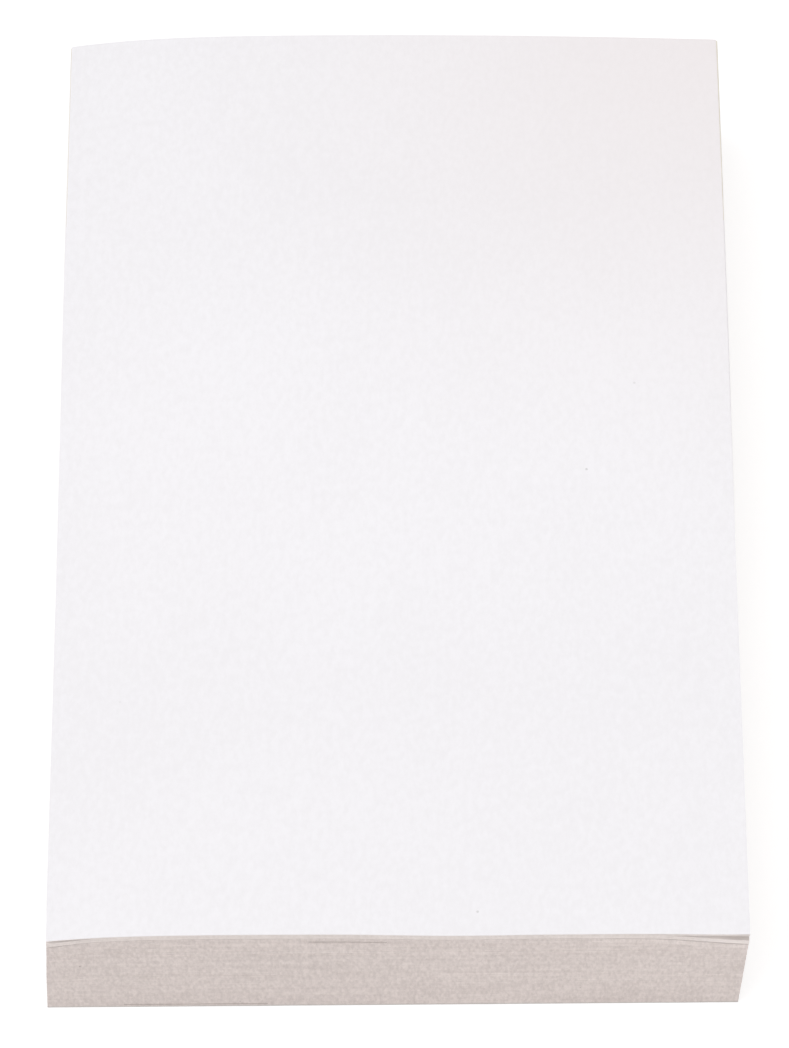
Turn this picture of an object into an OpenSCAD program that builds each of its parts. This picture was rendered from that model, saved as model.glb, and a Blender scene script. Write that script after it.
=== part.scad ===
// Sticky note pad: a stack of blank notes on a backing sheet, bound along the back edge by adhesive.
// Each note carries one band of adhesive under its back edge, so the stack is thicker there.
// At the free front edge the notes lie loose, and a few have parted at the corners.
// The origin is the middle of the pad's footprint, on the surface that it lies on.
// +X runs along the bound edge, +Y from the free edge to the bound edge, and +Z is up.

/* [Notes] */
// Width of a note, along the bound edge
note_w = 47.6; // [35:0.1:80]
// Depth of a note, from the free edge to the bound edge
note_d = 73; // [50:0.1:130]
// Thickness of one note
note_t = 0.1; // [0.08:0.01:0.14]
// Notes in the whole pad
note_count = 100; // [50:1:150]
// Notes in the loose group under the top note
group_count = 5; // [2:1:12]
// Thickness of the backing sheet under the last note
backing_t = 0.12; // [0.1:0.01:0.5]
// How far the top of the stack leans to the right of its foot
lean = 0.45; // [0:0.05:2]

/* [Adhesive] */
// Depth of the adhesive band, from the bound edge forwards
band_d = 16; // [8:0.5:25]
// Thickness of the adhesive on one note
band_t = 0.026; // [0.015:0.001:0.04]
// Length in front of the band over which the extra thickness runs out
run_out = 38; // [20:1:60]

/* [Bound edge] */
// Place of the crown along the bound edge, from the middle
bound_crown_x = -6; // [-15:0.5:15]
// Fall from that crown to the left corner
bound_fall_left = 1.22; // [0:0.01:2]
// Fall from that crown to the right corner
bound_fall_right = 1; // [0:0.01:2]

/* [Free edge] */
// Rise of the loose notes at the crown of the free edge
free_swell = 0.6; // [0:0.05:1.5]
// Place of the crown along the free edge, from the middle
free_crown_x = -9.5; // [-15:0.5:15]
// Fall from that crown to the left corner
free_fall_left = 0.75; // [0:0.05:1.2]
// Fall from that crown to the right corner
free_fall_right = 0.55; // [0:0.05:1.2]
// Depth of the shallow hollow to the right of the crown
hollow_depth = 0.2; // [0:0.05:0.4]
// Place of the hollow along the free edge, from the middle
hollow_x = 3.6; // [-10:0.1:10]
// Half of the hollow's width
hollow_reach = 8.3; // [3:0.1:15]

/* [Parted corners] */
// Gap under the top note at the front right corner
top_gap_right = 0.65; // [0:0.05:1.5]
// Gap under the top note at the front left corner
top_gap_left = 0.3; // [0:0.05:1.5]
// Gap under the loose group at the front right corner
group_gap_right = 0.15; // [0:0.05:1]
// Gap under the loose group at the front left corner
group_gap_left = 0.1; // [0:0.05:1]
// Reach of these gaps along the free edge, from the left corner
gap_reach_left = 4; // [2:0.5:15]
// Reach of the gap under the top note along the free edge, from the right corner
top_reach_right = 7; // [2:0.5:15]
// Reach of the gap under the loose group along the free edge, from the right corner
group_reach_right = 10; // [2:0.5:15]
// Reach of all these gaps along the side edges, from a front corner
gap_reach_back = 14; // [5:0.5:25]

/* [Hidden] */

paper_color = [0.955, 0.95, 0.96];
cut_edge_color = [0.82, 0.775, 0.76];
backing_color = [0.9, 0.89, 0.87];
adhesive_color = [0.87, 0.85, 0.8];

half_w = note_w / 2;
half_d = note_d / 2;
band_front_y = half_d - band_d;
bound_height = backing_t + note_count * (note_t + band_t);
free_height = backing_t + note_count * note_t + free_swell;
group_t = group_count * note_t;

// How sharply each edge turns down from its crown to a corner
bound_turn = [3.2, 1.8];
free_turn = [3.5, 1.3];

// Lines of the grid that every surface shares, closest at the sides and at the free edge
columns = 24;
free_rows = 12;
band_rows = 4;
grid_x = [for (i = [0 : columns]) half_w * sin(90 * (2 * i / columns - 1))];
free_y = [for (j = [0 : free_rows]) -half_d + (half_d + band_front_y) * (1 - cos(90 * j / free_rows))];
band_y = [for (j = [0 : band_rows]) band_front_y + band_d * j / band_rows];
whole_y = concat(free_y, [for (j = [1 : band_rows]) band_y[j]]);

// Smooth hump: 1 at 0, easing to nothing at 1 on either side
function hump(t) = abs(t) < 1 ? pow(cos(90 * t), 2) : 0;

// Drop of an edge below its crown, by different amounts and turns to the left and to the right
function edge_fall(x, crown_x, fall_left, fall_right, turn) =
    x < crown_x
        ? fall_left * pow((crown_x - x) / (crown_x + half_w), turn[0])
        : fall_right * pow((x - crown_x) / (half_w - crown_x), turn[1]);

// Height of the top note along the bound edge and along the free edge
function bound_edge(x) =
    bound_height - edge_fall(x, bound_crown_x, bound_fall_left, bound_fall_right, bound_turn);
function free_edge(x) =
    free_height - edge_fall(x, free_crown_x, free_fall_left, free_fall_right, free_turn)
        - hollow_depth * hump((x - hollow_x) / hollow_reach);

// Share of the adhesive's build-up at a depth: 1 over the band, easing to nothing in front of it
function build_up(y) = hump(max(0, min(1, (band_front_y - y) / run_out)));

// Opening between parted notes, widest at a front corner
function corner_gap(x, y, gap_left, gap_right, reach_right) =
    (gap_left * hump((x + half_w) / gap_reach_left) + gap_right * hump((half_w - x) / reach_right))
        * hump((y + half_d) / gap_reach_back);

// Surfaces of the stack, from the top of the pad down to the backing sheet
function pad_top(x, y) = free_edge(x) + (bound_edge(x) - free_edge(x)) * build_up(y);
function top_note_under(x, y) = pad_top(x, y) - note_t;
function group_top(x, y) =
    top_note_under(x, y) - band_t - corner_gap(x, y, top_gap_left, top_gap_right, top_reach_right);
function group_under(x, y) = group_top(x, y) - group_t - (group_count - 1) * band_t * build_up(y);
function block_top(x, y) =
    group_under(x, y) - band_t - corner_gap(x, y, group_gap_left, group_gap_right, group_reach_right);
function block_under(x, y) = backing_t + band_t * build_up(y);
function backing_top(x, y) = backing_t;

// A point of the stack, shifted sideways by the lean in proportion to its height
function leaned(x, y, z) = [x + lean * ((z - backing_t) / (pad_top(x, y) - backing_t) - 1 / 2), y, z];

// Closed solid between two surfaces, over the given rows of the grid
module layer(rows, under, top) {
    n = len(grid_x);
    last_i = n - 1;
    last_j = len(rows) - 1;
    roof = n * len(rows);
    points = concat(
        [for (y = rows) for (x = grid_x) leaned(x, y, under(x, y))],
        [for (y = rows) for (x = grid_x) leaned(x, y, top(x, y))]
    );
    cells = [for (j = [0 : last_j - 1]) for (i = [0 : last_i - 1]) j * n + i];
    roof_faces = [for (c = cells) each [
        [roof + c, roof + c + n, roof + c + n + 1],
        [roof + c, roof + c + n + 1, roof + c + 1]
    ]];
    floor_faces = [for (c = cells) each [[c, c + 1, c + n + 1], [c, c + n + 1, c + n]]];
    // The rim runs once round the floor, front edge first, with the pad on its left
    rim = concat(
        [for (i = [0 : last_i - 1]) i],
        [for (j = [0 : last_j - 1]) j * n + last_i],
        [for (i = [last_i : -1 : 1]) last_j * n + i],
        [for (j = [last_j : -1 : 1]) j * n]
    );
    side_faces = [for (k = [0 : len(rim) - 1]) let (a = rim[k], b = rim[(k + 1) % len(rim)]) each [
        [a, a + roof, b + roof],
        [a, b + roof, b]
    ]];
    polyhedron(points, concat(roof_faces, floor_faces, side_faces), convexity = 4);
}

module backing_sheet() {
    color(backing_color)
        translate([-half_w - lean / 2, -half_d, 0])
            cube([note_w, note_d, backing_t]);
}

module block_adhesive() {
    color(adhesive_color)
        layer(band_y, function(x, y) backing_top(x, y), function(x, y) block_under(x, y));
}

module note_block() {
    color(cut_edge_color)
        layer(whole_y, function(x, y) block_under(x, y), function(x, y) block_top(x, y));
}

module group_adhesive() {
    color(adhesive_color)
        layer(band_y, function(x, y) block_top(x, y), function(x, y) group_under(x, y));
}

module note_group() {
    color(cut_edge_color)
        layer(whole_y, function(x, y) group_under(x, y), function(x, y) group_top(x, y));
}

module top_adhesive() {
    color(adhesive_color)
        layer(band_y, function(x, y) group_top(x, y), function(x, y) top_note_under(x, y));
}

module top_note() {
    color(paper_color)
        layer(whole_y, function(x, y) top_note_under(x, y), function(x, y) pad_top(x, y));
}

backing_sheet();
block_adhesive();
note_block();
group_adhesive();
note_group();
top_adhesive();
top_note();
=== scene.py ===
import math
import random

import bmesh
import bpy
import numpy as np
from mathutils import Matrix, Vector, noise


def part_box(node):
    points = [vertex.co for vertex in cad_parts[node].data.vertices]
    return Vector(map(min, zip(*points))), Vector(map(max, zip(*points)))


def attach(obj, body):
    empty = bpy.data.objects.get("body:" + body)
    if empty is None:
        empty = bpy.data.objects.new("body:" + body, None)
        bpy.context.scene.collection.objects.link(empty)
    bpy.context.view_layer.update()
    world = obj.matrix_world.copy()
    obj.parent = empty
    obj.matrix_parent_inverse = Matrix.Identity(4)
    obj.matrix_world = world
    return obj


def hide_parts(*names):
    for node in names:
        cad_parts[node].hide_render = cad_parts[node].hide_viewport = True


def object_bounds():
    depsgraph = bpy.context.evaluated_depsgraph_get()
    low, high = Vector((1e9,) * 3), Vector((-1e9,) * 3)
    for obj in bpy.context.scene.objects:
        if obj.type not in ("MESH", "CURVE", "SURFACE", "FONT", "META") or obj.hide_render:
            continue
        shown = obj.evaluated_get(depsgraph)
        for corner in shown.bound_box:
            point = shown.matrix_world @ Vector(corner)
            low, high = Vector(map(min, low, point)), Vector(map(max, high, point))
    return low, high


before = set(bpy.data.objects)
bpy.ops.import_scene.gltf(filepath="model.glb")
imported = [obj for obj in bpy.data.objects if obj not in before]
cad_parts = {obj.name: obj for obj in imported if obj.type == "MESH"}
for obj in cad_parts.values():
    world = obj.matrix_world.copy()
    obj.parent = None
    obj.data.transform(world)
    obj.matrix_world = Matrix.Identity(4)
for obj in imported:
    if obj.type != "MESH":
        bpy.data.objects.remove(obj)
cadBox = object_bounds()
mm = 0.001

# The pad's own sizes, read from the solids
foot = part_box("backing_sheet")
padDepth = foot[1].y - foot[0].y
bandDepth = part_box("top_adhesive")[1].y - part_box("top_adhesive")[0].y
bandFront = 1 - 2 * bandDepth / padDepth  # where the adhesive starts, from -1 at the free edge to 1 at the bound edge


# Surfaces of the solids

def readSurface(node, side):
    # The grid of points on the top or the underside of a solid, as rows of points from the free edge back
    facing = 1 if side == "top" else -1
    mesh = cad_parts[node].data
    rows = {}
    for face in mesh.polygons:
        if face.normal.z * facing > 0.5:
            for index in face.vertices:
                point = mesh.vertices[index].co
                row = rows.setdefault(round(point.y / (0.01 * mm)), {})
                row[round(point.x / (0.01 * mm))] = point
    return [[rows[y][x] for x in sorted(rows[y])] for y in sorted(rows)]


def smoothFit(knots, values, wanted):
    # A smooth curve through the values at the knots, read at the wanted places, along the first axis
    slopes = np.gradient(values, knots, axis=0)
    left = np.clip(np.searchsorted(knots, wanted, side="right") - 1, 0, len(knots) - 2)
    span = knots[left + 1] - knots[left]
    t = ((wanted - knots[left]) / span)[:, None]
    span = span[:, None]
    return ((2 * t**3 - 3 * t**2 + 1) * values[left] + (t**3 - 2 * t**2 + t) * span * slopes[left]
            + (3 * t**2 - 2 * t**3) * values[left + 1] + (t**3 - t**2) * span * slopes[left + 1])


def surfaceGrid(node, side, columns, rows, start=-1.0):
    # Points of that surface on a fine grid: [row][column] = (x, y, z), from start to the bound edge
    points = np.array([[tuple(p) for p in row] for row in readSurface(node, side)])
    across = (points[0, :, 0] - points[0, 0, 0]) / (points[0, -1, 0] - points[0, 0, 0]) * 2 - 1
    along = points[:, 0, 1] / (padDepth / 2)
    wantedAcross = np.linspace(-1, 1, columns + 1)
    wantedAlong = np.linspace(max(start, along[0]), 1, rows + 1)
    fine = [smoothFit(along, smoothFit(across, points[:, :, axis].T, wantedAcross).T, wantedAlong)
            for axis in range(3)]
    return np.stack(fine, axis=-1)


# Building blocks for paper

def gridLayers(bm):
    ints = bm.verts.layers.int
    return ints.get("column") or ints.new("column"), ints.get("row") or ints.new("row")


def addGrid(bm, columns, rows):
    # A flat grid whose points remember their column and row
    column, row = gridLayers(bm)
    verts = bmesh.ops.create_grid(bm, x_segments=columns, y_segments=rows, size=1.0)["verts"]
    for vert in verts:
        vert[column] = round((vert.co.x + 1) / 2 * columns)
        vert[row] = round((vert.co.y + 1) / 2 * rows)
    return verts


def outward(i, j, columns, rows):
    # Which way a point of the rim faces, in the plane of the note
    return Vector(((i == columns) - (i == 0), (j == rows) - (j == 0), 0))


def finishPiece(bm, name, node, materials, sharpAngle=30):
    # Turn the bmesh into the piece that stands for a CAD node
    for edge in bm.edges:
        if len(edge.link_faces) == 2 and edge.calc_face_angle(0) > math.radians(sharpAngle):
            edge.smooth = False
    mesh = bpy.data.meshes.new(name)
    bm.to_mesh(mesh)
    bm.free()
    for material in materials:
        mesh.materials.append(material)
    piece = bpy.data.objects.new(name, mesh)
    bpy.context.scene.collection.objects.link(piece)
    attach(piece, "root")
    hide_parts(node)
    print(name, "made with", len(mesh.polygons), "faces")
    return piece


# Materials

def newMaterial(name, roughness, specular):
    material = bpy.data.materials.new(name)
    material.use_nodes = True
    nodes, links = material.node_tree.nodes, material.node_tree.links
    shader = nodes["Principled BSDF"]
    shader.inputs["Roughness"].default_value = roughness
    shader.inputs["Specular IOR Level"].default_value = specular
    place = nodes.new("ShaderNodeTexCoord").outputs["Object"]
    return material, nodes, links, shader, place


def stretched(nodes, links, place, grain):
    # Object coordinates scaled so that one unit is one grain along X, Y and Z (grain in mm)
    mapping = nodes.new("ShaderNodeMapping")
    mapping.inputs["Scale"].default_value = [1 / (size * mm) for size in grain]
    links.new(place, mapping.inputs["Vector"])
    return mapping.outputs["Vector"]


def noiseAt(nodes, links, place, grain, detail=2.0, roughness=0.5):
    texture = nodes.new("ShaderNodeTexNoise")
    texture.inputs["Scale"].default_value = 1.0
    texture.inputs["Detail"].default_value = detail
    texture.inputs["Roughness"].default_value = roughness
    links.new(stretched(nodes, links, place, grain), texture.inputs["Vector"])
    return texture.outputs["Fac"]


def ranged(nodes, links, value, low, high, to):
    # Map low..high of a value to the range to[0]..to[1]
    node = nodes.new("ShaderNodeMapRange")
    node.interpolation_type = "SMOOTHSTEP"
    node.inputs["From Min"].default_value = low
    node.inputs["From Max"].default_value = high
    node.inputs["To Min"].default_value = to[0]
    node.inputs["To Max"].default_value = to[1]
    links.new(value, node.inputs["Value"])
    return node.outputs["Result"]


def mixed(nodes, links, factor, first, second):
    # Mix two colours, each a colour or the output of another node
    node = nodes.new("ShaderNodeMix")
    node.data_type = "RGBA"
    links.new(factor, node.inputs[0])
    for socket, value in ((node.inputs[6], first), (node.inputs[7], second)):
        if isinstance(value, bpy.types.NodeSocket):
            links.new(value, socket)
        else:
            socket.default_value = (*value, 1)
    return node.outputs[2]


def blended(nodes, links, share, first, second):
    # Two patterns as one, with that share of the second
    node = nodes.new("ShaderNodeMix")
    node.inputs[0].default_value = share
    links.new(first, node.inputs[2])
    links.new(second, node.inputs[3])
    return node.outputs[0]


def distanceFrom(nodes, links, place, point):
    # Distance from a point on the piece, given in mm
    away = nodes.new("ShaderNodeVectorMath")
    away.operation = "DISTANCE"
    links.new(place, away.inputs[0])
    away.inputs[1].default_value = [value * mm for value in point]
    return away.outputs["Value"]


def bumped(nodes, links, height, depth, shader):
    bump = nodes.new("ShaderNodeBump")
    bump.inputs["Distance"].default_value = depth * mm
    links.new(height, bump.inputs["Height"])
    links.new(bump.outputs["Normal"], shader.inputs["Normal"])


notePaper = {
    "colour": (0.913, 0.898, 0.924),
    "shade": (0.878, 0.861, 0.884),  # in the darker fibres
    "paintedShade": (0.855, 0.79, 0.785),  # painted shade, a warm darkening that comes in at one corner of the bound edge
    "paintedShadeShare": 0.66,
    "paintedShadeCorner": (24.0, 36.5, 12.0),  # mm
    "paintedShadeReach": 44.0,  # mm
    "felt": (0.36, 0.65, 0.5),  # mm, the mottling of the sheet
    "cloud": 14.0,  # mm across
    "cloudShare": 0.25,
    "speck": (0.55, 0.53, 0.53),  # now and then in the pulp
    "speckCell": 8.6,  # mm
    "speckSize": 0.013,  # of a cell
    "speckFrom": 0.74,  # only cells with a random value over this have one
    "speckShare": 0.7,  # of the strongest
    "fibre": 0.12,  # mm across
    "fibreDepth": 0.004,  # mm
    "roughness": 0.78,
}


def makeNotePaper():
    material, nodes, links, shader, place = newMaterial("notePaper", notePaper["roughness"], 0.3)
    felt = noiseAt(nodes, links, place, notePaper["felt"], 3, 0.65)
    cloud = noiseAt(nodes, links, place, [notePaper["cloud"]] * 3, 2, 0.5)
    mottle = blended(nodes, links, notePaper["cloudShare"], felt, cloud)
    colour = mixed(nodes, links, ranged(nodes, links, mottle, 0.3, 0.7, (0, 1)), notePaper["colour"],
                   notePaper["shade"])
    # Painted shade, warm, that fades out away from the corner
    away = distanceFrom(nodes, links, place, notePaper["paintedShadeCorner"])
    paintedShadeAmount = ranged(nodes, links, away, -10 * mm, notePaper["paintedShadeReach"] * mm, (notePaper["paintedShadeShare"], 0))
    colour = mixed(nodes, links, paintedShadeAmount, colour, notePaper["paintedShade"])
    # Specks, in few of the cells only
    cells = nodes.new("ShaderNodeTexVoronoi")
    cells.voronoi_dimensions = "2D"
    cells.inputs["Scale"].default_value = 1.0
    links.new(stretched(nodes, links, place, [notePaper["speckCell"]] * 3), cells.inputs["Vector"])
    size = notePaper["speckSize"]
    speck = ranged(nodes, links, cells.outputs["Distance"], size * 0.6, size, (1, 0))
    chosen = ranged(nodes, links, cells.outputs["Color"], notePaper["speckFrom"], 0.95, (0, notePaper["speckShare"]))
    dark = nodes.new("ShaderNodeMath")
    dark.operation = "MULTIPLY"
    links.new(speck, dark.inputs[0])
    links.new(chosen, dark.inputs[1])
    colour = mixed(nodes, links, dark.outputs[0], colour, notePaper["speck"])
    links.new(colour, shader.inputs["Base Color"])
    fibre = noiseAt(nodes, links, place, [notePaper["fibre"]] * 3, 4, 0.7)
    links.new(ranged(nodes, links, fibre, 0.3, 0.7, (notePaper["roughness"] - 0.06, notePaper["roughness"] + 0.06)),
              shader.inputs["Roughness"])
    bumped(nodes, links, fibre, notePaper["fibreDepth"], shader)
    return material


innerPaper = {
    "colour": (0.9, 0.885, 0.905),
    "shade": (0.85, 0.785, 0.755),  # painted shade between the loose notes at the free edge
    "shadeFrom": -20.0,  # mm along the depth
    "shadeTo": -24.0,
    "tipShade": (0.70, 0.635, 0.605),  # painted shade, deeper still in the open corner
    "tip": (24.0, -36.5, 9.5),  # mm
    "tipReach": 2.5,  # mm
    "felt": (0.42, 0.6, 0.5),  # mm
    "roughness": 0.8,
}


def makeInnerPaper():
    material, nodes, links, shader, place = newMaterial("innerPaper", innerPaper["roughness"], 0.25)
    felt = noiseAt(nodes, links, place, innerPaper["felt"], 3, 0.65)
    along = nodes.new("ShaderNodeSeparateXYZ")
    links.new(place, along.inputs[0])
    # Painted shade near the free edge
    shade = ranged(nodes, links, along.outputs["Y"], innerPaper["shadeTo"] * mm, innerPaper["shadeFrom"] * mm, (1, 0))
    uneven = ranged(nodes, links, felt, 0.3, 0.7, (0.9, 1.0))
    share = nodes.new("ShaderNodeMath")
    share.operation = "MULTIPLY"
    links.new(shade, share.inputs[0])
    links.new(uneven, share.inputs[1])
    colour = mixed(nodes, links, share.outputs[0], innerPaper["colour"], innerPaper["shade"])
    # Deeper painted shade at the tip of the open corner
    away = distanceFrom(nodes, links, place, innerPaper["tip"])
    deep = ranged(nodes, links, away, 0.0, innerPaper["tipReach"] * mm, (1, 0))
    colour = mixed(nodes, links, deep, colour, innerPaper["tipShade"])
    links.new(colour, shader.inputs["Base Color"])
    bumped(nodes, links, felt, 0.004, shader)
    return material


cutEdge = {
    "light": (0.85, 0.762, 0.729),
    "dark": (0.642, 0.568, 0.541),
    "speckle": (0.2, 0.2, 0.45),  # mm, tufts of fibre torn by the knife
    "layer": (12.0, 12.0, 0.45),  # mm, notes a little lighter or darker than the next
    "layerShare": 0.24,  # of the speckle's strength
    "patch": (5.0, 5.0, 1.8),  # mm, broad lighter and darker places
    "patchShare": 0.1,
    "depth": 0.02,  # mm
    "roughness": 0.88,
    "paintedLitLight": (0.905, 0.812, 0.777),  # painted light on the highest notes of the block, where the loose ones stand off them
    "paintedLitDark": (0.70, 0.62, 0.59),
    "looseLight": (0.92, 0.84, 0.805),  # painted light on the loose notes, whose edges stand free in the light
    "looseDark": (0.78, 0.705, 0.67),
    "paintedCornerLight": (0.955, 0.872, 0.837),  # painted light at the front right corner, where they open
    "corner": (24.0, -36.5, 10.0),  # mm
    "cornerReach": 4.5,  # mm
    "topLight": (0.955, 0.90, 0.878),  # painted light on the top note's cut edge
    "topDark": (0.89, 0.825, 0.795),
    "gap": (0.6, 0.525, 0.495),  # painted shade, deep between two notes that stand apart
    "speck": (0.45, 0.38, 0.35),  # now and then in the pulp
    "speckCell": 2.5,  # mm
    "speckSize": 0.036,  # of a cell
}


def makeCutEdge(name, light, dark, paintedCornerLight=None):
    material, nodes, links, shader, place = newMaterial(name, cutEdge["roughness"], 0.2)
    speckle = noiseAt(nodes, links, place, cutEdge["speckle"], 4, 0.55)
    layer = noiseAt(nodes, links, place, cutEdge["layer"], 1, 0.5)
    grain = blended(nodes, links, cutEdge["layerShare"], speckle, layer)
    patch = noiseAt(nodes, links, place, cutEdge["patch"], 1, 0.5)
    tone = blended(nodes, links, cutEdge["patchShare"], grain, patch)
    colour = mixed(nodes, links, ranged(nodes, links, tone, 0.23, 0.77, (0, 1)), dark, light)
    # Painted light near the front right corner, where the loose notes open
    if paintedCornerLight:
        away = distanceFrom(nodes, links, place, cutEdge["corner"])
        near = ranged(nodes, links, away, 0.3 * cutEdge["cornerReach"] * mm, cutEdge["cornerReach"] * mm, (0.9, 0))
        colour = mixed(nodes, links, near, colour, paintedCornerLight)
    cells = nodes.new("ShaderNodeTexVoronoi")
    cells.inputs["Scale"].default_value = 1.0
    links.new(stretched(nodes, links, place, [cutEdge["speckCell"]] * 3), cells.inputs["Vector"])
    size = cutEdge["speckSize"]
    colour = mixed(nodes, links, ranged(nodes, links, cells.outputs["Distance"], size * 0.5, size, (0.9, 0)), colour,
                   cutEdge["speck"])
    links.new(colour, shader.inputs["Base Color"])
    bumped(nodes, links, grain, cutEdge["depth"], shader)
    return material


backingPaper = {
    "colour": (0.8, 0.78, 0.745),
    "shade": (0.74, 0.72, 0.685),
    "edge": (0.58, 0.545, 0.52),  # where it is cut
    "edgeShade": (0.51, 0.48, 0.455),
    "cloud": 4.0,
    "fibre": (0.5, 0.09, 0.2),
    "fibreDepth": 0.003,
    "roughness": 0.5,
}


def makeBackingPaper(name, light, dark):
    material, nodes, links, shader, place = newMaterial(name, backingPaper["roughness"], 0.45)
    cloud = noiseAt(nodes, links, place, [backingPaper["cloud"]] * 3, 5, 0.6)
    fibre = noiseAt(nodes, links, place, backingPaper["fibre"], 3, 0.6)
    colour = mixed(nodes, links, ranged(nodes, links, cloud, 0.35, 0.7, (0, 1)), light, dark)
    links.new(colour, shader.inputs["Base Color"])
    links.new(ranged(nodes, links, cloud, 0.3, 0.7, (0.42, 0.58)), shader.inputs["Roughness"])
    bumped(nodes, links, fibre, backingPaper["fibreDepth"], shader)
    return material


adhesiveFilm = {
    "colour": (0.86, 0.83, 0.74),
    "shade": (0.78, 0.74, 0.63),
    "bead": 0.05,  # mm, the small beads of adhesive
    "roughness": 0.35,
}


def makeAdhesiveFilm():
    material, nodes, links, shader, place = newMaterial("adhesiveFilm", adhesiveFilm["roughness"], 0.5)
    beads = nodes.new("ShaderNodeTexVoronoi")
    beads.inputs["Scale"].default_value = 1.0
    links.new(stretched(nodes, links, place, [adhesiveFilm["bead"]] * 3), beads.inputs["Vector"])
    patch = noiseAt(nodes, links, place, (1.5, 1.5, 1.5), 3, 0.5)
    colour = mixed(nodes, links, ranged(nodes, links, patch, 0.3, 0.7, (0, 1)), adhesiveFilm["colour"],
                   adhesiveFilm["shade"])
    links.new(colour, shader.inputs["Base Color"])
    links.new(ranged(nodes, links, patch, 0.3, 0.7, (0.28, 0.42)), shader.inputs["Roughness"])
    bumped(nodes, links, beads.outputs["Distance"], 0.01, shader)
    return material


paperFinish = makeNotePaper()
innerFinish = makeInnerPaper()
edgeFinish = makeCutEdge("cutEdge", cutEdge["light"], cutEdge["dark"])
# Painted shade for the gaps where notes stand apart
paintedGapShadeFinish = makeCutEdge("gapShade", cutEdge["gap"], [value * 0.8 for value in cutEdge["gap"]])
paintedLitEdgeFinish = makeCutEdge("paintedLitEdge", cutEdge["paintedLitLight"], cutEdge["paintedLitDark"])
looseEdgeFinish = makeCutEdge("looseEdge", cutEdge["looseLight"], cutEdge["looseDark"], cutEdge["paintedCornerLight"])
topEdgeFinish = makeCutEdge("topEdge", cutEdge["topLight"], cutEdge["topDark"])
backingFinish = makeBackingPaper("backingPaper", backingPaper["colour"], backingPaper["shade"])
backingEdgeFinish = makeBackingPaper("backingEdge", backingPaper["edge"], backingPaper["edgeShade"])
adhesiveFinish = makeAdhesiveFilm()
print("materials made")


# Tight block of notes

noteBlock = {
    "notes": 94,
    "columns": 72,
    "rows": 60,
    "inset": 0.014,  # mm, the mean edge lies this far inside the solid's
    "jog": 0.007,  # mm, one note to the next
    "wave": 0.008,  # mm, unevenness of the cut
    "groove": 0.01,  # mm, between two notes at the free edge
    "boundGroove": 0.006,  # mm, where adhesive fills it
    "flat": 0.76,  # share of a note's thickness that is flat edge
    "parting": 0.06,  # mm, how deep some notes stand apart here and there at the free edge
    "partingRise": 0.35,  # of a note, how far they then open
    "partings": [  # those that show in the free edge: gap from below, from and to in mm along the edge, strength
        (89, -6.4, 1.0, 0.26),
        (82, -13.8, -10.6, 0.18),
        (79, -14.2, -11.0, 0.16),
        (48, 13.2, 17.8, 0.18),
        (2, -19.6, -4.6, 0.25),
    ],
    "cornerTuck": 0.045,  # mm, how far the notes are drawn in at the top of the front left corner
    "gapShadeFrom": 0.2,  # a gap gets painted shade where it parts more than this
    "paintedLitNotes": (2, 6),  # counted from the top
    "paintedLitFrom": (12.5, 15.0),  # mm along the free edge, where the painted light starts on each of them
    "paintedLitBack": (5.0, 11.0),  # mm along the side, how far back that goes on
}


def eased(value, low, high):
    t = max(0.0, min(1.0, (value - low) / (high - low)))
    return t * t * (3 - 2 * t)


def parting(u, v, gap):
    # How far the notes stand apart at a gap, counted from below, and a place of the rim: 0 for not at all
    apart = 0.19 * eased(noise.noise(Vector((u * 4.3, v * 4.3, gap * 5.3))), 0.45, 0.65) * eased(-v, 0.6, 0.9)
    if v < -0.99:
        x = u * (foot[1].x - foot[0].x) / 2 / mm
        for wanted, start, end, strength in noteBlock["partings"]:
            if gap == wanted:
                length = end - start
                apart += strength * eased(x, start, start + 0.15 * length) * (1 - eased(x, end - 0.4 * length, end))
    return min(apart, 1.8)


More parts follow.
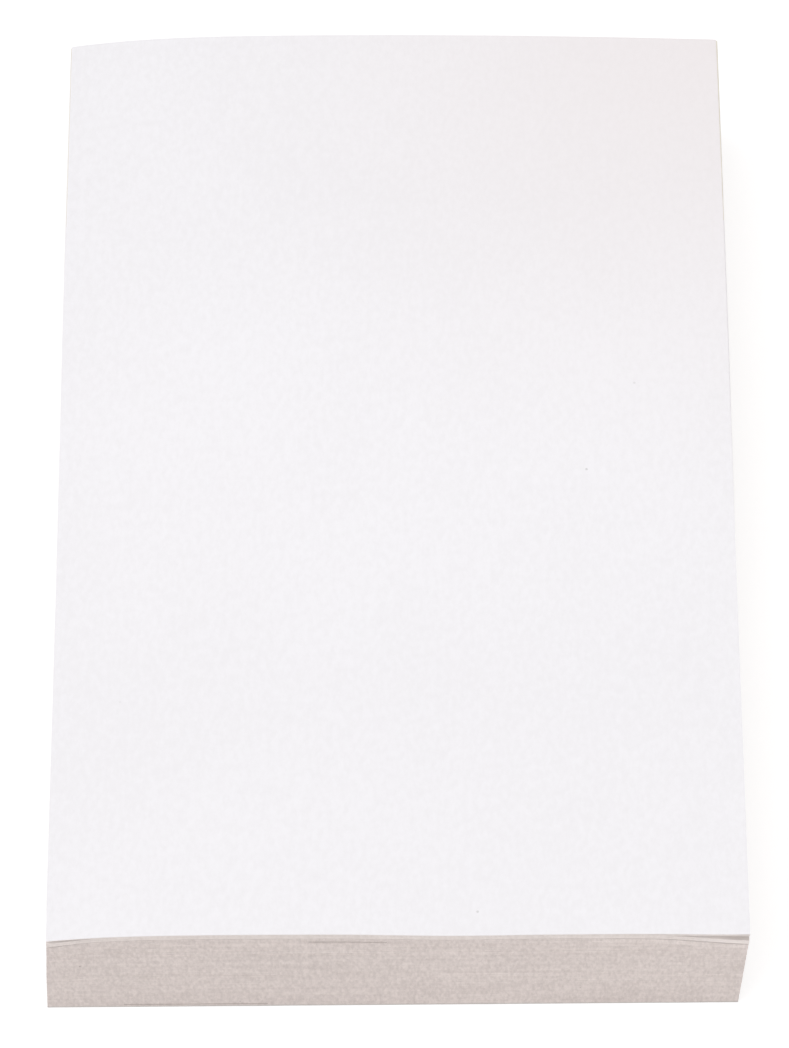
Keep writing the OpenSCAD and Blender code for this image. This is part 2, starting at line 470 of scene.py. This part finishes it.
def makeNoteBlock():
    columns, rows, notes = noteBlock["columns"], noteBlock["rows"], noteBlock["notes"]
    under = surfaceGrid("note_block", "under", columns, rows)
    top = surfaceGrid("note_block", "top", columns, rows)
    draw = random.Random(5)
    jogs = [Vector((draw.gauss(0, 1), draw.gauss(0, 1), 0)) * noteBlock["jog"] * mm for _ in range(notes)]
    bm = bmesh.new()
    column, row = gridLayers(bm)
    opening = bm.verts.layers.float.new("opening")

    def placeRim(vert, level, note, gap=None):
        # level runs from 0 to 1 over the thickness of the note; a gap, counted from below, is a groove
        i, j = vert[column], vert[row]
        low, high = Vector(under[j][i]), Vector(top[j][i])
        facing = outward(i, j, columns, rows)
        u, v = 2 * i / columns - 1, 2 * j / rows - 1
        if level < 0.5:
            level += noteBlock["partingRise"] * parting(u, v, note)
        share = (note + level) / notes
        point = low.lerp(high, share)
        wave = noise.noise(Vector((u * 9, v * 14, share * 2.5))) * noteBlock["wave"]
        deep = 0.0
        if gap is not None:
            bound = eased(v, -0.2, 0.4)
            vert[opening] = parting(u, v, gap)
            deep = noteBlock["groove"] + (noteBlock["boundGroove"] - noteBlock["groove"]) * bound
            deep *= 0.6 + 0.8 * noise.noise(Vector((u * 20, v * 30, gap * 3.7))) ** 2
            deep += noteBlock["parting"] * vert[opening]
        if facing.x < 0:
            deep += noteBlock["cornerTuck"] * eased(share, 0.4, 0.9) * eased(-v, 0.88, 1)
        for axis in range(2):
            depth = max(0.0, noteBlock["inset"] - wave - jogs[note][axis] / mm * facing[axis]) + deep
            point[axis] -= facing[axis] * depth * mm
        vert.co = point

    def placeFace(verts, surface, level, note, gap=None):
        for vert in verts:
            i, j = vert[column], vert[row]
            vert.co = surface[j][i]
            if outward(i, j, columns, rows).length > 0:
                placeRim(vert, level, note, gap)

    placeFace(addGrid(bm, columns, rows), under, 0.0, 0, 0)
    bmesh.ops.reverse_faces(bm, faces=bm.faces[:])
    flatFaces = bm.faces[:]
    rim = [edge for edge in bm.edges if edge.is_boundary]
    margin = (1 - noteBlock["flat"]) / 2
    first, last = noteBlock["paintedLitNotes"]
    paintedLitFrom = {notes - above: draw.uniform(*noteBlock["paintedLitFrom"]) * mm for above in range(first, last + 1)}
    paintedLitBack = {note: foot[0].y + draw.uniform(*noteBlock["paintedLitBack"]) * mm for note in paintedLitFrom}
    upperFaces = []  # each with its note
    for note in range(notes):
        levels = [(margin, None), (1 - margin, None)] + ([(1.0, note + 1)] if note < notes - 1 else [])
        for level, gap in levels:
            made = bmesh.ops.extrude_edge_only(bm, edges=rim)["geom"]
            rim = [part for part in made if isinstance(part, bmesh.types.BMEdge) and part.is_boundary]
            for vert in {vert for edge in rim for vert in edge.verts}:
                placeRim(vert, level, note, gap)
            if note in paintedLitFrom:
                upperFaces += [(part, note) for part in made if isinstance(part, bmesh.types.BMFace)]
    lastRing = {vert for edge in rim for vert in edge.verts}
    roof = addGrid(bm, columns, rows)
    flatFaces += list({face for vert in roof for face in vert.link_faces})
    placeFace(roof, top, 1 - margin, notes - 1)
    edgeOfRoof = [vert for vert in roof if outward(vert[column], vert[row], columns, rows).length > 0]
    # Painted shade on the faces of gaps that part, the plain cut edge elsewhere
    for face in bm.faces:
        parted = max(vert[opening] for vert in face.verts) > noteBlock["gapShadeFrom"]
        face.material_index = 2 if parted else 1
    # Painted light on the highest notes of the block, from their place along the free edge back along the side
    for face, note in upperFaces:
        centre = face.calc_center_median()
        if centre.x > paintedLitFrom[note] and centre.y < paintedLitBack[note]:
            face.material_index = 3
    for face in flatFaces:
        face.material_index = 0
    bmesh.ops.remove_doubles(bm, verts=list(lastRing) + edgeOfRoof, dist=0.001 * mm)
    bmesh.ops.recalc_face_normals(bm, faces=bm.faces[:])
    return finishPiece(bm, "noteBlock", "note_block",
                       [innerFinish, edgeFinish, paintedGapShadeFinish, paintedLitEdgeFinish])


makeNoteBlock()


# Loose notes

looseNotes = {
    "notes": 5,
    "columns": 64,
    "rows": 98,
    "hair": 0.004,  # mm, between two notes, so that they never share a face
    "swell": 0.2,  # of their thickness, how much looser the lower ones lie at the open corner
    "droop": 0.13,  # mm, how far the lower ones hang at the tip of that corner
    "droopReach": 3.0,  # mm
    "inset": 0.012,  # mm
    "jog": 0.007,  # mm, one note to the next
    "topHair": 0.03,  # mm, between the highest one and the top note
    "fan": 0.07,  # mm, how far they spread apart near the right end of the free edge
    "fanPlace": 17.0,  # mm, along the free edge
    "fanReach": (6.0, 9.0),  # mm, along the free edge and back from it
}


def addNote(bm, upper, under, columns, rows):
    # One closed sheet between two grids of points: 0 top, 1 cut edge, 2 underside
    column, row = gridLayers(bm)
    verts = addGrid(bm, columns, rows)
    for vert in verts:
        vert.co = upper[vert[row]][vert[column]]
    topFaces = list({face for vert in verts for face in vert.link_faces})
    made = bmesh.ops.extrude_face_region(bm, geom=topFaces)["geom"]
    for part in made:
        if isinstance(part, bmesh.types.BMVert):
            part.co.z = under[part[row]][part[column]][2]
    lowerFaces = {part for part in made if isinstance(part, bmesh.types.BMFace)}
    for face in {face for vert in verts for face in vert.link_faces} | lowerFaces:
        face.material_index = 1
    for face in topFaces:
        face.material_index = 0
    for face in lowerFaces:
        face.material_index = 2


def pulledIn(points, columns, rows, inset, jog, tuck):
    # Rim of a note drawn in by the inset, its own jog and the tuck at either side
    moved = points.copy()
    for j in range(rows + 1):
        for i in range(columns + 1):
            facing = outward(i, j, columns, rows)
            for axis in range(2):
                depth = max(0.0, inset - jog[axis] * facing[axis])
                moved[j][i][axis] -= facing[axis] * depth * mm
            moved[j][i][0] -= facing.x * tuck(facing.x, j / rows) * mm
    return moved


def cornerTuck(side, v):
    # Draws the front left corner in, like the block's
    return noteBlock["cornerTuck"] * eased(1 - v, 0.94, 1) if side < 0 else 0.0


def fanned(points, columns, rows, amount):
    # The loose notes spread a little near the right end of the free edge
    for j in range(rows + 1):
        for i in range(columns + 1):
            x, y, z = points[j][i]
            across = abs(x / mm - looseNotes["fanPlace"]) / looseNotes["fanReach"][0]
            back = (y - foot[0].y) / mm / looseNotes["fanReach"][1]
            points[j][i][2] = z + amount * mm * (1 - eased(across, 0, 1)) * (1 - eased(back, 0, 1))


def closeNotes(bm):
    bmesh.ops.recalc_face_normals(bm, faces=bm.faces[:])
    for face in bm.faces:
        face.smooth = abs(face.normal.z) > 0.7


def makeLooseNotes():
    columns, rows, notes = looseNotes["columns"], looseNotes["rows"], looseNotes["notes"]
    under = surfaceGrid("note_group", "under", columns, rows)
    top = surfaceGrid("note_group", "top", columns, rows)
    # The highest of them lifts with the top note where the right corner stands open
    lift = np.where(top[:, :, 0] > 0, surfaceGrid("top_note", "under", columns, rows)[:, :, 2] - top[:, :, 2], 0)
    lift = np.maximum(0, lift - looseNotes["topHair"] * mm)
    fanned(top, columns, rows, looseNotes["fan"])
    thickness = (top - under)[:, :, 2] / notes
    looser = 1 + looseNotes["swell"] * lift / lift.max()
    away = np.linalg.norm((under - under[0][columns])[:, :, :2], axis=2) / (looseNotes["droopReach"] * mm)
    droop = looseNotes["droop"] * mm * np.maximum(0, 1 - away) ** 1.5
    draw = random.Random(11)
    bm = bmesh.new()
    for note in range(notes):
        lower, upper = under.copy(), top.copy()
        if note == notes - 1:
            upper[:, :, 2] += lift
            lower[:, :, 2] = upper[:, :, 2] - thickness
        else:
            lower[:, :, 2] += thickness * looser * note - droop
            upper[:, :, 2] = lower[:, :, 2] + thickness * looser - looseNotes["hair"] * mm
        jog = Vector((draw.gauss(0, 1), draw.gauss(0, 1), 0)) * looseNotes["jog"]
        upper = pulledIn(upper, columns, rows, looseNotes["inset"], jog, cornerTuck)
        addNote(bm, upper, lower, columns, rows)
    closeNotes(bm)
    return finishPiece(bm, "looseNotes", "note_group", [innerFinish, looseEdgeFinish, innerFinish])


makeLooseNotes()

topNote = {
    "columns": 110,
    "rows": 166,
    "inset": 0.008,  # mm
    "thickness": 0.1,  # mm
    "tuckLeft": 0.07,  # mm, how far it is drawn in over the crown of the bound edge
    "tuckRight": 0.13,  # mm
    "cockle": 0.012,  # mm, very slight waves in the sheet
    "cockleSize": 9.0,  # mm
    "tipCurl": 0.05,  # mm, the front right tip turned up
    "tipReach": 3.0,  # mm
}


def topTuck(side, v):
    if side < 0:
        return topNote["tuckLeft"] * eased(v, 0.65, 0.82) + cornerTuck(side, v)
    return topNote["tuckRight"] * max(0.0, (v - 0.2) / 0.8) ** 1.3


def makeTopNote():
    columns, rows = topNote["columns"], topNote["rows"]
    points = surfaceGrid("top_note", "top", columns, rows)
    fanned(points, columns, rows, looseNotes["fan"] * 1.3)
    corner = Vector(points[0][columns])
    for j in range(rows + 1):
        for i in range(columns + 1):
            x, y, z = points[j][i]
            wave = noise.noise(Vector((x, y, 0)) / (topNote["cockleSize"] * mm))
            fade = min(1.0, (points[rows][columns // 2][1] - y) / (10 * mm))
            away = (Vector((x, y, z)) - corner).length / (topNote["tipReach"] * mm)
            z += wave * topNote["cockle"] * mm * fade
            z += topNote["tipCurl"] * mm * max(0.0, 1 - away) ** 2
            points[j][i][2] = min(z, cadBox[1][2])
    points = pulledIn(points, columns, rows, topNote["inset"], Vector((0, 0, 0)), topTuck)
    bm = bmesh.new()
    addNote(bm, points, points - np.array([0, 0, topNote["thickness"] * mm]), columns, rows)
    closeNotes(bm)
    return finishPiece(bm, "topNote", "top_note", [paperFinish, topEdgeFinish, innerFinish])


makeTopNote()


# Bands of adhesive under the bound edge

adhesiveBand = {"columns": 48, "rows": 16, "inset": 0.04}  # inset in mm: the film stops short of the cut


def makeAdhesiveBand(name, node):
    columns, rows = adhesiveBand["columns"], adhesiveBand["rows"]
    draw = random.Random(name)
    film = surfaceGrid(node, "top", columns, rows, bandFront)
    lower = surfaceGrid(node, "under", columns, rows, bandFront)
    film = pulledIn(film, columns, rows, adhesiveBand["inset"], Vector((0, 0, 0)), lambda side, v: 0.0)
    for i in range(columns + 1):
        film[0][i][1] += draw.uniform(0, 0.25) * mm  # the coating starts unevenly
    bm = bmesh.new()
    addNote(bm, film, lower, columns, rows)
    closeNotes(bm)
    return finishPiece(bm, name, node, [adhesiveFinish] * 3)


for bandName, bandNode in (("blockAdhesive", "block_adhesive"), ("groupAdhesive", "group_adhesive"),
                           ("topAdhesive", "top_adhesive")):
    makeAdhesiveBand(bandName, bandNode)


# Backing sheet

backingSheet = {"columns": 60, "rows": 92, "inset": 0.008, "wave": 0.006}  # mm


def makeBackingSheet():
    columns, rows = backingSheet["columns"], backingSheet["rows"]
    low, high = foot
    points = np.zeros((rows + 1, columns + 1, 3))
    for j in range(rows + 1):
        for i in range(columns + 1):
            wave = noise.noise(Vector((i * 0.3, j * 0.3, 4))) * backingSheet["wave"]
            place = Vector((low.x + (high.x - low.x) * i / columns, low.y + (high.y - low.y) * j / rows, high.z))
            points[j][i] = place - outward(i, j, columns, rows) * (backingSheet["inset"] + wave) * mm
    bm = bmesh.new()
    addNote(bm, points, points - np.array([0, 0, high.z - low.z]), columns, rows)
    closeNotes(bm)
    return finishPiece(bm, "backingSheet", "backing_sheet",
                       [backingFinish, backingEdgeFinish, backingFinish])


makeBackingSheet()


# Floor, light and camera

studio = {
    "floorSize": 3.0,  # m
    "floorColour": (0.6, 0.6, 0.6),
    "floorLift": 0.55,  # what the camera and reflections see on top, so that a lit floor is white
    "skyLight": 0.68,
    "key": {"place": (-0.4, -0.1, 0.8), "size": 1.0, "watts": 3.25},
    "fill": {"place": (0.42, -0.5, 0.22), "size": 0.55, "watts": 1.2},
}


def seenDirectly(nodes, links):
    # 1 for what the camera sees, also in a reflection or through something clear
    rays = nodes.new("ShaderNodeLightPath")
    seen = rays.outputs["Is Camera Ray"]
    for kind in ("Is Glossy Ray", "Is Transmission Ray"):
        either = nodes.new("ShaderNodeMath")
        either.operation = "MAXIMUM"
        links.new(seen, either.inputs[0])
        links.new(rays.outputs[kind], either.inputs[1])
        seen = either.outputs[0]
    return seen


def makeFloor():
    bm = bmesh.new()
    bmesh.ops.create_grid(bm, x_segments=2, y_segments=2, size=studio["floorSize"] / 2)
    mesh = bpy.data.meshes.new("floor")
    bm.to_mesh(mesh)
    bm.free()
    floor = bpy.data.objects.new("floor", mesh)
    bpy.context.scene.collection.objects.link(floor)
    material = bpy.data.materials.new("floorWhite")
    material.use_nodes = True
    nodes, links = material.node_tree.nodes, material.node_tree.links
    shader = nodes["Principled BSDF"]
    shader.inputs["Base Color"].default_value = (*studio["floorColour"], 1)
    shader.inputs["Roughness"].default_value = 1.0
    shader.inputs["Specular IOR Level"].default_value = 0.0
    shader.inputs["Emission Color"].default_value = (1, 1, 1, 1)
    lift = nodes.new("ShaderNodeMath")
    lift.operation = "MULTIPLY"
    lift.inputs[1].default_value = studio["floorLift"]
    links.new(seenDirectly(nodes, links), lift.inputs[0])
    links.new(lift.outputs[0], shader.inputs["Emission Strength"])
    mesh.materials.append(material)


def makeWorld():
    world = bpy.data.worlds.new("studioWorld")
    world.use_nodes = True
    bpy.context.scene.world = world
    nodes, links = world.node_tree.nodes, world.node_tree.links
    background = nodes["Background"]
    background.inputs["Color"].default_value = (1, 1, 1, 1)
    strength = nodes.new("ShaderNodeMapRange")
    strength.inputs["To Min"].default_value = studio["skyLight"]
    strength.inputs["To Max"].default_value = 1.0
    links.new(seenDirectly(nodes, links), strength.inputs["Value"])
    links.new(strength.outputs["Result"], background.inputs["Strength"])


def makeLamp(name, values):
    lamp = bpy.data.lights.new(name, "AREA")
    lamp.shape = "SQUARE"
    lamp.size = values["size"]
    lamp.energy = values["watts"]
    holder = bpy.data.objects.new(name, lamp)
    holder.location = values["place"]
    holder.rotation_euler = Vector(values["place"]).to_track_quat("Z", "Y").to_euler()
    bpy.context.scene.collection.objects.link(holder)


photoCamera = {
    "place": (3.5353, -219.6704, 367.7626),  # mm
    "turn": (31.0991, 0.6522, -0.1730),  # degrees
    "lens": 204.1765,  # mm, on a 36 mm frame
}


def makeCamera():
    camera = bpy.data.cameras.new("camera")
    camera.sensor_width = 36
    camera.lens = photoCamera["lens"]
    camera.clip_start = 0.01
    holder = bpy.data.objects.new("camera", camera)
    holder.location = Vector(photoCamera["place"]) * mm
    holder.rotation_euler = [math.radians(angle) for angle in photoCamera["turn"]]
    bpy.context.scene.collection.objects.link(holder)
    bpy.context.scene.camera = holder


makeFloor()
makeWorld()
makeLamp("keyLight", studio["key"])
makeLamp("fillLight", studio["fill"])
makeCamera()
bpy.context.scene.view_settings.view_transform = "Standard"
print("floor, light and camera made")
